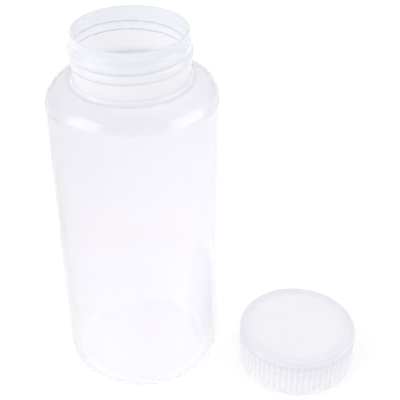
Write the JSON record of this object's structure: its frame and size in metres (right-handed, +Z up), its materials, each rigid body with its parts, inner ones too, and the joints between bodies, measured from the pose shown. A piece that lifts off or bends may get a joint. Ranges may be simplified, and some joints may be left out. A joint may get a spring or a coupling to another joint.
{
  "type": "wide-mouth reagent bottle",
  "caption": "Cylindrical plastic bottle with rounded shoulder and wide threaded neck, its ribbed screw cap and sealing disc standing beside it.",
  "frame": {"origin": "on the bottle's axis, in the plane of the standing ring of its base", "axes": "+Z up the bottle's axis, out of its mouth; +X to the right as seen from the front, the side on which the cap stands"},
  "size_m": [0.1411, 0.0782, 0.1692],
  "materials": {
    "natural_polypropylene": "natural translucent polypropylene, blow-moulded, satin",
    "moulded_polypropylene": "natural translucent polypropylene, injection-moulded, satin",
    "soft_white_disc": "soft white polyethylene foam"
  },
  "bodies": {
    "bottle": {"bottle": "natural_polypropylene"},
    "sealing_disc": {"sealing_disc": "soft_white_disc"},
    "screw_cap": {"screw_cap": "moulded_polypropylene"}
  },
  "joints": [
    {"name": "cap_lift", "type": "slide", "parent": "bottle", "child": "sealing_disc", "axis": [0, 0, 1], "range_m": [0, 0.18]},
    {"name": "cap_turn", "type": "hinge", "parent": "sealing_disc", "child": "screw_cap", "pos_m": [0.07598, -0.01312, 0.01], "axis": [0, 0, 1], "continuous": true}
  ]
}
